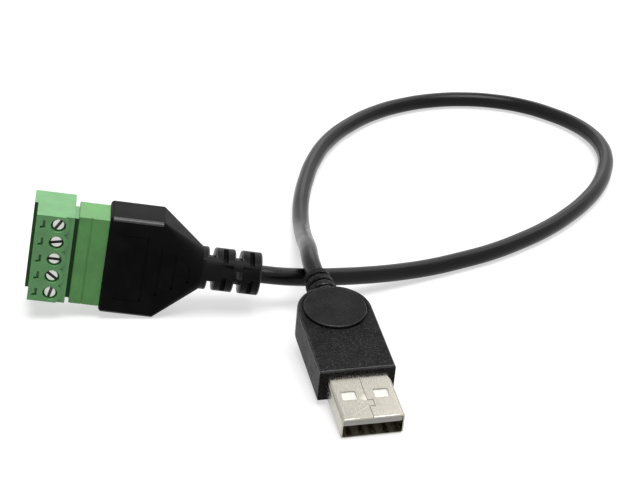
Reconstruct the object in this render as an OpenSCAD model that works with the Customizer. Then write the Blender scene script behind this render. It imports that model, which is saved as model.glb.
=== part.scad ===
// Adapter lead: a USB-A plug at one end of a short round cable and, at the other,
// a moulded housing with a five-way header and its plug-in screw terminal block.
// Millimetres, +Z up. The lead lies on the plane Z = 0 with its cable in one loop.

/* [Cable] */
// Outside diameter of the cable's jacket
cable_d = 3.7; // [3.4:0.1:3.9]
// Outside diameter of one insulated conductor
wire_d = 0.7; // [0.5:0.05:0.8]
// Radius of the ring in which the conductors lie inside the jacket
wire_ring_r = 1.2; // [1:0.05:1.25]

/* [Housing of the terminal end] */
// Height of the housing, along the row of terminals
housing_h = 21.5; // [21.1:0.1:24]
// Thickness of the housing, front to back
housing_t = 8.8; // [8.4:0.1:10.5]
// Length of the housing's straight part
box_len = 10.6; // [9:0.1:14]
// Length of the taper between the straight part and the neck
taper_len = 9; // [7:0.1:12]
// Rounding of the housing's edges
housing_edge_r = 0.8; // [0.4:0.1:1.2]
// Diameter of the neck and of the strain relief behind it
relief_d = 8.8; // [8:0.1:9.4]
// Length of the plain collar at the root of the strain relief
collar_len = 1.3; // [1:0.1:2]
// Length of each segment of the strain relief
segment_len = 4.2; // [3.6:0.1:5]
// Length of each notch between two segments
notch_len = 1.2; // [0.9:0.1:1.4]
// Depth of each notch, and of the slot across the middle of each segment
notch_depth = 1.7; // [1:0.1:1.8]
// Width of that slot
slot_w = 1; // [0.6:0.1:1.2]
// Half width of the webs that bridge the slots at the front and back
web_half = 1.5; // [1.2:0.1:2]
// Half width of the wider webs that cross the notches
notch_web_half = 2.4; // [2:0.1:2.8]
// Angle by which the webs stand round from the flat faces towards the top
web_turn = 25; // [0:5:35]
// Width of the grip grooves on the two large faces
groove_w = 0.5; // [0.3:0.1:0.8]
// Depth of the grip grooves
groove_depth = 0.3; // [0.2:0.05:0.5]

/* [Header] */
// Length of header that stands out of the housing
header_out = 6.1; // [5:0.1:8]
// Whole depth of the header, front to back of its shell
header_depth = 9.3; // [8.8:0.1:9.6]
// Thickness of the header
header_t = 7.2; // [6.9:0.1:7.6]
// Wall of the header's shroud
header_wall = 0.7; // [0.5:0.05:0.8]
// Thickness of the wall that holds the pins
header_back = 1.8; // [1.4:0.1:2.2]
// Distance between two neighbouring ways
pitch = 3.81; // [3.7:0.01:3.9]
// Header wall beyond the half pitch at each end of the row
header_end = 0.22; // [0.15:0.01:0.4]
// Side of the square pins
pin_side = 0.9; // [0.7:0.05:1]
// Pin length inside the shroud
pin_reach = 6.6; // [5.5:0.1:7]
// Pin length behind the header, where the conductors are soldered
pin_tail = 2.2; // [1.5:0.1:3]

/* [Terminal plug] */
// Width of the terminal plug's body, seen from the screw side
plug_w = 7.5; // [6.9:0.1:9]
// Thickness of the terminal plug's body, screw face to back
plug_t = 11.2; // [10.8:0.1:12]
// Distance of the screw face from the middle plane of the header
face_out = 4.5; // [4.4:0.1:5]
// Body beyond the half pitch at each end of the row
plug_end = 0.08; // [0.05:0.01:0.2]
// Gap between the plug's shoulder and the header's mouth
mate_gap = 0.8; // [0.6:0.1:2]
// Clearance of the plug's nose in the shroud
nose_clear = 0.1; // [0.05:0.01:0.2]
// Distance of the screws from the plug's shoulder
screw_inset = 3.1; // [2.6:0.05:3.4]
// How far the back half of the wire side stands out
ledge_out = 0.7; // [0.3:0.1:1.2]
// Distance of that ledge behind the screw face
ledge_back = 5.5; // [5:0.1:5.6]
// Depth of the step beside the screws
step_depth = 0.4; // [0.3:0.1:1]
// Radius of the round lands that the step leaves about the screws
land_r = 2.3; // [2:0.05:2.5]
// Width of each wire entry
entry_w = 2.6; // [2:0.1:2.7]

/* [Screws and clamps] */
// Diameter of the screw heads
head_d = 2.5; // [2.4:0.1:3.1]
// Height of the screw heads
head_h = 1.0; // [0.9:0.1:1.3]
// How far the heads sit below the face
head_recess = 0.6; // [0.2:0.1:0.8]
// Diameter of the holes over the screw heads
head_hole_d = 3.0; // [2.8:0.1:3.6]
// Diameter of the screw shanks
shank_d = 1.9; // [1.6:0.1:2]
// Thickness of the shoulder under each screw head
shoulder_t = 0.4; // [0.3:0.05:0.5]
// Running clearance between a shank and its clamp cage, on the radius
thread_clear = 0.05; // [0.02:0.01:0.08]
// Width of the screwdriver slots
driver_slot_w = 0.6; // [0.4:0.05:0.7]
// Depth of the screwdriver slots
driver_slot_depth = 0.6; // [0.4:0.05:0.8]
// Height of a clamp cage's throat when it is open
throat = 2.4; // [2.2:0.1:2.5]
// Width of a clamp cage along the row
cage_w = 2.9; // [2.6:0.05:3]
// Length of a clamp cage along the wire
cage_len = 3.2; // [2.6:0.1:3.3]
// Thickness of a clamp cage's threaded top
cage_top = 1; // [0.8:0.1:1.2]
// Thickness of a clamp cage's side and bottom walls
cage_wall = 0.45; // [0.35:0.05:0.5]
// Clearance about a clamp cage
cage_clear = 0.1; // [0.05:0.01:0.15]
// Thickness of the contact strip
strip_t = 0.5; // [0.4:0.05:0.55]
// Width of the contact strip
strip_w = 1.7; // [1.4:0.1:1.8]

/* [USB shell] */
// Width of the metal shell
shell_w = 12; // [11.8:0.1:12.2]
// Height of the metal shell
shell_h = 4.5; // [4.4:0.05:4.6]
// Wall of the metal shell
shell_wall = 0.3; // [0.25:0.01:0.35]
// Length of shell that stands out of the overmould
shell_out = 12.3; // [11.75:0.05:13]
// Length of shell inside the overmould
shell_in = 6.5; // [5:0.1:8]
// Rounding of the shell's long edges
shell_r = 0.6; // [0.4:0.05:0.8]
// Chamfer round the shell's mouth
lip = 0.35; // [0.2:0.05:0.4]
// Width of each window in the shell
window_w = 2.8; // [2:0.1:3.2]
// Length of each window in the shell
window_len = 2.5; // [1.8:0.1:2.8]
// Distance of the windows from the shell's mouth
window_back = 6.6; // [6:0.1:7.2]
// Distance of the windows from the middle of the shell
window_side = 3.1; // [2.6:0.1:3.4]
// Thickness of the white tongue
tongue_t = 1.9; // [1.7:0.05:2]
// How far the tongue lies behind the shell's mouth
tongue_back = 0.4; // [0.2:0.1:0.8]
// Clearance of the insulator in the shell
fit = 0.05; // [0.02:0.01:0.08]
// Width of each contact
contact_w = 1; // [0.9:0.05:1.2]
// Thickness of each contact
contact_t = 0.25; // [0.2:0.05:0.35]

/* [USB overmould] */
// Width of the overmould
grip_w = 14.8; // [14:0.1:17]
// Thickness of the overmould
grip_t = 7.2; // [7:0.1:8.5]
// Length of the overmould with its round end
grip_len = 25.9; // [25:0.1:30]
// Chamfer on the overmould's edges
grip_edge = 0.45; // [0.2:0.05:0.6]
// Diameter of the round pad on the overmould
pad_d = 12.4; // [10:0.1:13]
// Height of the pad over the overmould
pad_h = 0.45; // [0.1:0.05:0.6]
// Width of the moat round the pad
moat_w = 0.4; // [0.3:0.1:0.7]
// Depth of the moat
moat_depth = 0.35; // [0.2:0.05:0.5]
// Diameter of the strain relief's first ring
tail_d = 6.6; // [5.9:0.1:7]
// Diameter of its last ring
tail_end_d = 5.4; // [5.2:0.1:6]
// Length of each ring of the strain relief
tail_ring = 1.5; // [1:0.1:2]
// Length of each gap between the rings
tail_gap = 0.75; // [0.5:0.05:1]
// Diameter of the strain relief inside its gaps
tail_core_d = 4.8; // [4.6:0.1:5.1]

/* [How the lead lies] */
// Angle by which the terminal end dips towards its cable
tip = 8; // [4:0.5:12]
// Angle by which the USB plug's tail is raised
tail_up = 9.5; // [7.5:0.5:10]
// Angle by which the USB plug is turned to the left
usb_turn = 9; // [5:0.5:15]

/* [Hidden] */

$fn = 48;
WAYS = 5;
BIG = 100;  // larger than any piece, for cuts that run right through
EPS = 0.01; // overshoot of a cut past the face that it opens

// Colours of the moulded and metal pieces
PVC = [0.07, 0.07, 0.075];
MOULD = [0.85, 0.85, 0.82];
GREEN = [0.30, 0.50, 0.31];
STEEL = [0.78, 0.78, 0.76];
TINNED = [0.80, 0.79, 0.76];
NICKEL = [0.80, 0.78, 0.74];
NYLON = [0.93, 0.93, 0.90];
GOLD = [0.83, 0.66, 0.33];
CONDUCTOR_COLOURS = [
    [0.72, 0.08, 0.07], [0.90, 0.90, 0.88], [0.10, 0.48, 0.20], [0.06, 0.06, 0.06], [0.70, 0.68, 0.64],
];

// Terminal end. Its own axes: X from the header's mouth side towards the cable, Y from the screw
// face to the back, Z along the row. The origin is in the middle of the housing's mouth.
header_len = WAYS * pitch + 2 * header_end;
header_rear = header_depth - header_out;
header_seat = header_rear - header_back;
neck_x = box_len + taper_len;
relief_len = collar_len + 2 * (notch_len + segment_len);
adapter_exit = neck_x + relief_len;
pin_end = header_rear + pin_tail;
jacket_start = box_len + 3;
fan_start = pin_end + 1.5;
fan_end = jacket_start - 1.2;
inner_end = jacket_start + 1.6;
inner_t = 5.2;
inner_half = WAYS * pitch / 2 - 1;
inner_end_half = cable_d / 2 + 0.9;

plug_len = WAYS * pitch + 2 * plug_end;
plug_right = -header_out - mate_gap;
plug_left = plug_right - plug_w;
nose_end = header_seat - 0.4;
nose_t = header_t - 2 * header_wall - 2 * nose_clear;
nose_len = header_len - 2 * header_wall - 2 * nose_clear;
screw_x = plug_right - screw_inset;
face_y = -face_out;
head_top_y = face_y + head_recess;
head_under_y = head_top_y + head_h;
strip_y = 0.6;
shank_end_y = strip_y - 0.05;
cage_top_y = strip_y - cage_clear - cage_top;
throat_y = strip_y + strip_t;
cage_floor_y = throat_y + throat;
cage_end_y = cage_floor_y + cage_wall;
pocket_x0 = screw_x - cage_len / 2 - cage_clear;
pocket_x1 = screw_x + cage_len / 2 + cage_clear;
pocket_y1 = cage_end_y + cage_clear;
pocket_w = cage_w + 2 * cage_clear;
leaf_gap = 0.05;
leaf_t = 0.4;
leaf_y = pin_side / 2 + leaf_gap;
socket_x0 = plug_right - 0.1;
socket_half = leaf_y + leaf_t + 0.2;
socket_end = nose_end - 0.6;
strip_back = throat_y;
SLOT_ANGLES = [78, -35, 0, 12, 60]; // how each screw's slot happens to stand, bottom screw first

// USB end. Its own axes: X across, Y from the mouth to the tail, Z up. The origin is at the
// bottom of the overmould's front face.
shell_z = (grip_t - shell_h) / 2;
axis_z = grip_t / 2;
round_y = grip_len - grip_w / 2;
tail_bury = 1.1; // how much of the first ring is hidden by the round end
tail_len = 4 * tail_ring + 3 * tail_gap - tail_bury;
usb_exit = grip_len + tail_len;
tongue_top = shell_z + shell_h - shell_wall - fit;
tongue_z = tongue_top - tongue_t;
base_y = -2;
contact_end = shell_in + 2.4;
usb_fan_start = contact_end + 1;
usb_fan_end = usb_fan_start + 2.6;
usb_jacket_start = usb_fan_end + 0.8;
usb_inner_end = usb_jacket_start + 1.8;
usb_inner_w = 10.4;
usb_inner_h = 5;
contact_x = [-3.5, -1, 1, 3.5];
contact_front = [10.9, 9.9, 9.9, 10.9]; // the two outer contacts reach further forward

// Where the two ends stand
adapter_lift = box_len * sin(tip) + (housing_h / 2 - housing_edge_r) * cos(tip) + housing_edge_r;
adapter_at = [-19.6, 22, adapter_lift];
usb_lift = (shell_out - lip) * sin(tail_up) - shell_z * cos(tail_up);
usb_at = [28.1, -15.2, usb_lift];

// The free cable's route, from the terminal end to the USB plug
ROUTE = [
    [16, 22.3, 7], [19.5, 23, 6.4], [23, 24, 5.8], [28, 25.7, 5], [33, 27.8, 4.1], [38, 30, 3.3],
    [43.5, 32.5, 2.6], [49.5, 35.3, 2.1], [56.5, 38.8, 1.9], [63.5, 42.6, 1.85], [71, 47.9, 1.85],
    [78, 53.9, 1.85], [84, 60.4, 1.85], [90, 68.4, 1.85], [94.9, 76.9, 1.85], [98.1, 85.1, 1.85],
    [100, 92.6, 1.85], [100.4, 99.8, 1.85], [99.3, 106.6, 1.85], [96.4, 113.4, 1.85], [91.8, 119.4, 1.85],
    [85.8, 124.7, 1.85], [78.3, 128.2, 1.85], [70.7, 129.4, 1.85], [62.7, 128.6, 1.85], [54.5, 125.6, 1.85],
    [47, 120.7, 1.85], [39.3, 112.5, 1.85], [33, 102.4, 1.85], [28.7, 91.2, 1.85], [26, 80.3, 1.85],
    [24.1, 69.3, 1.85], [23.3, 61, 1.9], [23, 53.4, 2.6], [22.8, 46.5, 4.2], [22.6, 40, 6.2],
    [22.5, 34, 8.1], [22.4, 28.8, 9.5], [22.3, 25, 10.1], [22.4, 21.5, 10.2],
];

function unit(v) = v / norm(v);
function turn_x(p, a) = [p.x, p.y * cos(a) - p.z * sin(a), p.y * sin(a) + p.z * cos(a)];
function turn_y(p, a) = [p.x * cos(a) + p.z * sin(a), p.y, p.z * cos(a) - p.x * sin(a)];
function turn_z(p, a) = [p.x * cos(a) - p.y * sin(a), p.x * sin(a) + p.y * cos(a), p.z];
function on_adapter(p) = adapter_at + turn_y(p, tip);
function on_usb(p) = usb_at + turn_z(turn_x(p, tail_up), usb_turn);
function way_z(way) = (way - (WAYS + 1) / 2) * pitch;

// Direction of a line of points at point i: halfway between the two stretches that meet there
function heading(points, i) =
    let (last = len(points) - 1)
    i == 0 ? unit(points[1] - points[0])
    : i == last ? unit(points[last] - points[last - 1])
    : unit(unit(points[i] - points[i - 1]) + unit(points[i + 1] - points[i]));

// A tube along a line of points, with one ring of sides at each point
module tube(points, d, sides = 8) {
    last = len(points) - 1;
    rings = [
        for (i = [0 : last])
            let (t = heading(points, i), side = unit(cross(t, [0, 0, 1])), up = cross(side, t))
            for (k = [0 : sides - 1])
                let (a = 360 * (k + 0.5) / sides)
                points[i] + d / 2 * (cos(a) * side + sin(a) * up)
    ];
    walls = [
        for (i = [0 : last - 1], k = [0 : sides - 1])
            let (a = i * sides + k, b = i * sides + (k + 1) % sides)
            each [[a, b, b + sides], [a, b + sides, a + sides]]
    ];
    polyhedron(
        points = rings,
        faces = concat(walls, [[for (k = [sides - 1 : -1 : 0]) k]], [[for (k = [0 : sides - 1]) last * sides + k]])
    );
}

// A rectangle with round corners, centred
module round_rect(w, h, r) {
    square([w - 2 * r, h], center = true);
    square([w, h - 2 * r], center = true);
    for (x = [-1, 1], y = [-1, 1]) translate([x * (w / 2 - r), y * (h / 2 - r)]) circle(r = r);
}

// A box given by its lowest corner and its highest
module block(low, high) {
    translate(low) cube(high - low);
}

// A box about the middle plane, from x0 to x1, with half sizes in Y and Z
module bar_x(x0, x1, half_y, half_z) {
    block([x0, -half_y, -half_z], [x1, half_y, half_z]);
}

module in_adapter() {
    translate(adapter_at) rotate([0, tip, 0]) children();
}

module in_usb() {
    translate(usb_at) rotate([tail_up, 0, usb_turn]) children();
}

// A round bar along X of the terminal end
module rod_x(x0, x1, d) {
    translate([x0, 0, 0]) rotate([0, 90, 0]) cylinder(d = d, h = x1 - x0);
}

// A round bar along Y of either end
module rod_y(y0, y1, d) {
    translate([0, y0, 0]) rotate([-90, 0, 0]) cylinder(d = d, h = y1 - y0);
}

// ---- Terminal end ----

// Outside of the housing: a rounded box that tapers to the round neck
module housing_form() {
    reach_y = housing_t / 2 - housing_edge_r;
    reach_z = housing_h / 2 - housing_edge_r;
    hull() for (x = [housing_edge_r, box_len], y = [-reach_y, reach_y], z = [-reach_z, reach_z])
        translate([x, y, z]) sphere(r = housing_edge_r, $fn = 24);
    hull() {
        for (y = [-reach_y, reach_y], z = [-reach_z, reach_z])
            translate([box_len, y, z]) sphere(r = housing_edge_r, $fn = 24);
        translate([neck_x - 0.5, 0, 0]) rotate([0, 90, 0]) cylinder(d = relief_d, h = 0.5, $fn = 48);
    }
}

// Shape that takes away everything but the webs at the front and back, from x0 to x1
module past_webs(x0, x1, half, from_y = -BIG) {
    rotate([-web_turn, 0, 0]) for (y = [-1, 1], z = [-1, 1])
        block([x0, y > 0 ? from_y : -BIG, z > 0 ? half : -BIG], [x1, y > 0 ? BIG : -from_y, z > 0 ? BIG : -half]);
}

// Notch all round, narrower at its bottom, between the webs
module relief_notch(x) {
    core_r = relief_d / 2 - notch_depth;
    narrowing = notch_len / 4;
    intersection() {
        translate([x, 0, 0]) rotate([0, 90, 0]) rotate_extrude() polygon([
            [core_r, narrowing], [relief_d, -narrowing], [relief_d, notch_len + narrowing], [core_r, notch_len - narrowing],
        ]);
        past_webs(x - notch_len, x + 2 * notch_len, notch_web_half);
    }
}

// Slot round a segment, from the webs to near its top and bottom
module relief_slot(x) {
    intersection() {
        rod_x(x, x + slot_w, 4 * relief_d);
        difference() {
            past_webs(x - 1, x + slot_w + 1, web_half, from_y = relief_d * 0.15);
            rod_x(x - 2, x + slot_w + 2, relief_d - 2 * notch_depth);
        }
    }
}

// Grip grooves on both large faces, shorter towards the neck
module grip_grooves() {
    first = box_len - 2.9;
    spacing = 3;
    for (i = [0 : 3]) {
        x = first + i * spacing;
        half = min(housing_h / 2 - 3.5, (neck_x - x) * 0.62);
        for (side = [-1, 1]) {
            near = side * (housing_t / 2 - groove_depth);
            far = side * housing_t;
            block([x, min(near, far), -half], [x + groove_w, max(near, far), half]);
        }
    }
}

module inner_mould_form() {
    translate([0, inner_t / 2, 0]) rotate([90, 0, 0]) linear_extrude(inner_t) polygon([
        [header_rear, -inner_half], [header_rear, inner_half], [fan_start + 0.8, inner_half],
        [inner_end, inner_end_half], [inner_end, -inner_end_half], [fan_start + 0.8, -inner_half],
    ]);
}

module adapter_housing() color(PVC) in_adapter() difference() {
    union() {
        housing_form();
        rod_x(neck_x - 0.6, adapter_exit, relief_d);
    }
    bar_x(-EPS, header_rear, header_t / 2, header_len / 2);
    inner_mould_form();
    rod_x(inner_end - EPS, adapter_exit + 1, cable_d);
    for (i = [0, 1]) {
        segment_x = neck_x + collar_len + i * (notch_len + segment_len);
        relief_notch(segment_x);
        relief_slot(segment_x + notch_len + (segment_len - slot_w) / 2);
    }
    grip_grooves();
}

// Path of one conductor from its pin's tail to the end of the jacket
function adapter_wire(way) =
    let (a = [216, 144, 288, 72, 0][way - 1], y = wire_ring_r * sin(a), z = wire_ring_r * cos(a))
    [[pin_end, 0, way_z(way)], [fan_start, 0, way_z(way)], [fan_end, y, z], [jacket_start, y, z]];

module adapter_inner_mould() color(MOULD) in_adapter() difference() {
    inner_mould_form();
    for (way = [1 : WAYS]) {
        translate([0, 0, way_z(way)]) bar_x(0, pin_end, pin_side / 2, pin_side / 2);
        tube(adapter_wire(way), wire_d + 0.04);
    }
    rod_x(jacket_start, inner_end + EPS, cable_d);
}

// Shrouded header: a mouth towards the plug and a back wall with the pins
module header_shell() color(GREEN) in_adapter() difference() {
    rear_x = header_rear;
    band_x = -header_out * 0.6;
    bar_x(-header_out, rear_x, header_t / 2, header_len / 2);
    bar_x(-header_out - EPS, header_seat, header_t / 2 - header_wall, header_len / 2 - header_wall);
    for (way = [1 : WAYS]) translate([0, 0, way_z(way)]) bar_x(0, BIG, pin_side / 2, pin_side / 2);
    // the front and back faces have a shallow line across them, with a nick at each end
    for (side = [-1, 1]) {
        near = side * (header_t / 2 - 0.2);
        far = side * header_t;
        block([band_x, min(near, far), -BIG], [band_x + 0.3, max(near, far), BIG]);
    }
}

module header_pin(way) color(TINNED) in_adapter() translate([0, 0, way_z(way)])
    bar_x(header_seat - pin_reach, pin_end, pin_side / 2, pin_side / 2);

// The hole that one way takes out of the terminal plug
module way_pocket() {
    translate([screw_x, 0, 0]) {
        rod_y(face_y - EPS, head_under_y + thread_clear, head_hole_d);
        rod_y(face_y, cage_top_y, shank_d + 4 * thread_clear);
    }
    block([pocket_x0, head_under_y + shoulder_t, -pocket_w / 2], [pocket_x1, pocket_y1, pocket_w / 2]);
    // wire entry
    block([plug_left - ledge_out - EPS, throat_y, -entry_w / 2], [pocket_x0 + EPS, cage_floor_y, entry_w / 2]);
    // room for the contact: its strip, its two leaves and the pin's way in
    block([pocket_x1 - EPS, strip_y - 0.05, -strip_w / 2 - 0.05], [socket_x0 + EPS, throat_y + 0.05, strip_w / 2 + 0.05]);
    block([socket_x0, -socket_half, -strip_w / 2 - 0.05], [socket_end, throat_y + 0.05, strip_w / 2 + 0.05]);
    bar_x(socket_end - EPS, nose_end + EPS, pin_side / 2 + 0.2, pin_side / 2 + 0.2);
    // probe recess beside the screw, an upright with a foot
    probe_x = screw_x - 3.1;
    translate([probe_x, face_y - EPS, -0.9]) cube([0.5, 1, 1.8]);
    translate([probe_x - 0.5, face_y - EPS, -0.9]) cube([0.6, 1, 0.5]);
}

module terminal_plug() color(GREEN) in_adapter() difference() {
    union() {
        block([plug_left, face_y, -plug_len / 2], [plug_right, face_y + plug_t, plug_len / 2]);
        block([plug_left - ledge_out, face_y + ledge_back, -plug_len / 2],
              [plug_left + 1, face_y + plug_t, plug_len / 2]);
        bar_x(plug_right - 1, nose_end, nose_t / 2, nose_len / 2);
    }
    // the step beside the screws leaves a round land about each of them
    difference() {
        block([screw_x + land_r * 0.6, face_y - EPS, -BIG], [plug_right + EPS, face_y + step_depth, BIG]);
        for (way = [1 : WAYS]) translate([screw_x, 0, way_z(way)]) rod_y(face_y - 1, face_y + 1, 2 * land_r);
    }
    for (way = [1 : WAYS]) translate([0, 0, way_z(way)]) way_pocket();
}

// Contact strip: a bar under the screw and two leaves that grip the header's pin
module socket_contact(way) color(TINNED) in_adapter() translate([0, 0, way_z(way)]) {
    bar_end = socket_x0 + 0.6;
    block([screw_x - cage_len / 2, strip_y, -strip_w / 2], [bar_end, strip_back, strip_w / 2]);
    block([socket_x0 + 0.1, -leaf_y - leaf_t, -strip_w / 2], [bar_end, strip_back, strip_w / 2]);
    for (side = [-1, 1]) {
        near = side * leaf_y;
        far = side * (leaf_y + leaf_t);
        block([bar_end - EPS, min(near, far), -0.7], [socket_end - 0.1, max(near, far), 0.7]);
    }
}

// Clamp cage: a threaded top over a rectangular throat that rises to grip the wire
module clamp_cage(way) color(STEEL) in_adapter() translate([screw_x, 0, way_z(way)]) difference() {
    block([-cage_len / 2, cage_top_y, -cage_w / 2], [cage_len / 2, cage_end_y, cage_w / 2]);
    block([-BIG, cage_top_y + cage_top, -cage_w / 2 + cage_wall], [BIG, cage_floor_y, cage_w / 2 - cage_wall]);
    rod_y(cage_top_y - 1, cage_top_y + cage_top + EPS, shank_d + 2 * thread_clear);
}

module clamp_screw(way) color(STEEL) in_adapter() translate([screw_x, 0, way_z(way)]) difference() {
    union() {
        rod_y(head_top_y, head_under_y, head_d);
        rod_y(head_under_y - EPS, shank_end_y, shank_d);
    }
    rotate([0, -SLOT_ANGLES[way - 1], 0])
        block([-BIG, head_top_y - 1, -driver_slot_w / 2], [BIG, head_top_y + driver_slot_depth, driver_slot_w / 2]);
}

// ---- Cable ----

module cable() color(PVC) tube(concat(
    [on_adapter([jacket_start, 0, 0]), on_adapter([adapter_exit + 1.2, 0, 0])],
    ROUTE,
    [on_usb([0, usb_exit + 1.2, axis_z]), on_usb([0, usb_jacket_start, axis_z])]
), cable_d);

// Path of one conductor from the end of the jacket to its contact, or to the shell for the shield wire
function usb_wire(i) =
    let (a = [-72, -144, 144, 72, 0][i], x = wire_ring_r * sin(a), z = axis_z + wire_ring_r * cos(a))
    let (end_x = i < 4 ? contact_x[i] : 0, end_y = i < 4 ? contact_end : shell_in)
    let (end_z = i < 4 ? tongue_z + contact_t / 2 : shell_z + shell_h - shell_wall / 2)
    [[end_x, end_y, end_z], [end_x, usb_fan_start, end_z], [x, usb_fan_end, z], [x, usb_jacket_start, z]];

// One conductor shows at both ends of the cable; between them it runs inside the jacket
module conductor(i) color(CONDUCTOR_COLOURS[i]) {
    in_adapter() tube(adapter_wire(WAYS - i), wire_d);
    in_usb() tube(usb_wire(i), wire_d);
}

// ---- USB end ----

// Outside of the overmould: straight sides, a round end and chamfered edges
module grip_form() {
    front_y = 0.2;
    hull() {
        for (inset = [0, grip_edge]) {
            z = grip_edge - inset;
            translate([0, round_y, z]) cylinder(r = grip_w / 2 - inset, h = grip_t - 2 * z, $fn = 64);
            block([inset - grip_w / 2, front_y, z], [grip_w / 2 - inset, round_y, grip_t - z]);
            block([inset + front_y - grip_w / 2, 0, z + front_y], [grip_w / 2 - inset - front_y, 1, grip_t - z - front_y]);
        }
    }
}

module usb_inner_form() {
    block([-usb_inner_w / 2, shell_in, axis_z - usb_inner_h / 2], [usb_inner_w / 2, usb_inner_end, axis_z + usb_inner_h / 2]);
}

module usb_overmould() color(PVC) in_usb() difference() {
    union() {
        grip_form();
        translate([0, round_y, grip_t - 1]) cylinder(d = pad_d, h = 1 + pad_h);
        translate([0, 0, axis_z]) {
            rod_y(round_y, usb_exit, tail_core_d);
            rod_y(round_y, grip_len, tail_d);
            for (i = [0 : 3]) {
                y = grip_len - tail_bury + i * (tail_ring + tail_gap);
                rod_y(y, y + tail_ring, tail_d + (tail_end_d - tail_d) * i / 3);
            }
        }
    }
    // moat round the pad
    translate([0, round_y, grip_t - moat_depth]) difference() {
        cylinder(d = pad_d + 2 * moat_w, h = 2);
        translate([0, 0, -1]) cylinder(d = pad_d, h = 4);
    }
    translate([0, -EPS, axis_z]) rotate([-90, 0, 0])
        linear_extrude(shell_in + EPS) round_rect(shell_w, shell_h, shell_r);
    usb_inner_form();
    translate([0, 0, axis_z]) rod_y(usb_inner_end - EPS, usb_exit + 1, cable_d);
}

module usb_inner_mould() color(MOULD) in_usb() difference() {
    usb_inner_form();
    for (i = [0 : 4]) tube(usb_wire(i), wire_d + 0.04);
    for (x = contact_x) block([x - contact_w / 2, 0, tongue_z], [x + contact_w / 2, contact_end, tongue_z + contact_t]);
    translate([0, 0, axis_z]) rod_y(usb_jacket_start, usb_inner_end + EPS, cable_d);
}

// The seam of the folded sheet, with the small dovetail that locks it
module shell_seam() {
    gap = 0.08;
    tab_y0 = -shell_out + 3.2;
    tab_y1 = tab_y0 + 1.7;
    translate([0, 0, shell_z + shell_h - shell_wall - 0.1]) linear_extrude(1) {
        for (ends = [[-shell_out - 1, tab_y0 + gap], [tab_y1 - gap, shell_in + 1]])
            translate([-gap / 2, ends[0]]) square([gap, ends[1] - ends[0]]);
        difference() {
            polygon([[-gap / 2, tab_y0], [1 + gap, tab_y0 - 0.2], [1 + gap, tab_y1 + 0.2], [-gap / 2, tab_y1]]);
            polygon([[-gap, tab_y0 + gap], [1, tab_y0 - 0.1], [1, tab_y1 + 0.1], [-gap, tab_y1 - gap]]);
        }
    }
}

module usb_shell() color(NICKEL) in_usb() difference() {
    translate([0, 0, axis_z]) rotate([-90, 0, 0]) {
        translate([0, 0, -shell_out + lip]) linear_extrude(shell_out + shell_in - lip)
            round_rect(shell_w, shell_h, shell_r);
        // chamfer round the mouth
        hull() for (inset = [0, lip * 0.6])
            translate([0, 0, -shell_out + (inset > 0 ? 0 : lip)]) linear_extrude(0.01)
                round_rect(shell_w - 2 * inset, shell_h - 2 * inset, shell_r - inset / 2);
    }
    translate([0, 0, axis_z]) rotate([-90, 0, 0]) translate([0, 0, -BIG / 2]) linear_extrude(BIG)
        round_rect(shell_w - 2 * shell_wall, shell_h - 2 * shell_wall, shell_r - shell_wall);
    for (x = [-window_side, window_side])
        translate([x, window_back - shell_out, 0]) linear_extrude(BIG / 4)
            round_rect(window_w, window_len, 0.4);
    shell_seam();
}

module usb_insulator() color(NYLON) in_usb() difference() {
    half_w = shell_w / 2 - shell_wall - fit;
    low_z = shell_z + shell_wall + fit;
    corner = shell_r - shell_wall;
    intersection() {
        translate([0, 0, axis_z]) rotate([-90, 0, 0]) translate([0, 0, -shell_out]) linear_extrude(BIG / 4)
            round_rect(2 * half_w, shell_h - 2 * shell_wall - 2 * fit, corner);
        union() {
            block([-half_w, tongue_back - shell_out, tongue_z], [half_w, shell_in, tongue_top]);
            block([-half_w, base_y, low_z], [half_w, shell_in, tongue_top]);
        }
    }
    for (i = [0 : 3]) contact_form(i);
    // the tongue's two lower edges are rounded off
    for (side = [-1, 1]) difference() {
        block([min(side * half_w, side * (half_w - 0.6)) - EPS, -BIG, tongue_z - EPS],
              [max(side * half_w, side * (half_w - 0.6)) + EPS, base_y, tongue_z + 0.6]);
        translate([side * (half_w - 0.6), 0, tongue_z + 0.6]) rod_y(-BIG, BIG, 1.2);
    }
}

module contact_form(i) {
    block([contact_x[i] - contact_w / 2, -contact_front[i], tongue_z],
          [contact_x[i] + contact_w / 2, contact_end, tongue_z + contact_t]);
}

module usb_contact(i) color(GOLD) in_usb() contact_form(i);

adapter_housing();
adapter_inner_mould();
header_shell();
for (way = [1 : WAYS]) {
    header_pin(way);
    socket_contact(way);
    clamp_cage(way);
    clamp_screw(way);
}
terminal_plug();
cable();
conductor(0);  // conductor_red
conductor(1);  // conductor_white
conductor(2);  // conductor_green
conductor(3);  // conductor_black
conductor(4);  // conductor_shield
usb_overmould();
usb_inner_mould();
usb_shell();
usb_insulator();
usb_contact(0);  // usb_contact_vbus
usb_contact(1);  // usb_contact_data_minus
usb_contact(2);  // usb_contact_data_plus
usb_contact(3);  // usb_contact_ground
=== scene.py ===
# %% [markdown]
# # An adapter lead: USB-A plug, cable and plug-in screw terminal
# The lead joins a USB-A plug to a row of five screw terminals. Its solids are already made and
# packed; this lesson dresses them. Each piece is modelled in the axes of its own end, flat and
# easy to measure, and then stood where that end lies on the table.

# %% Load the fixed solids
import math

import bpy
from mathutils import Matrix, Vector


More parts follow.
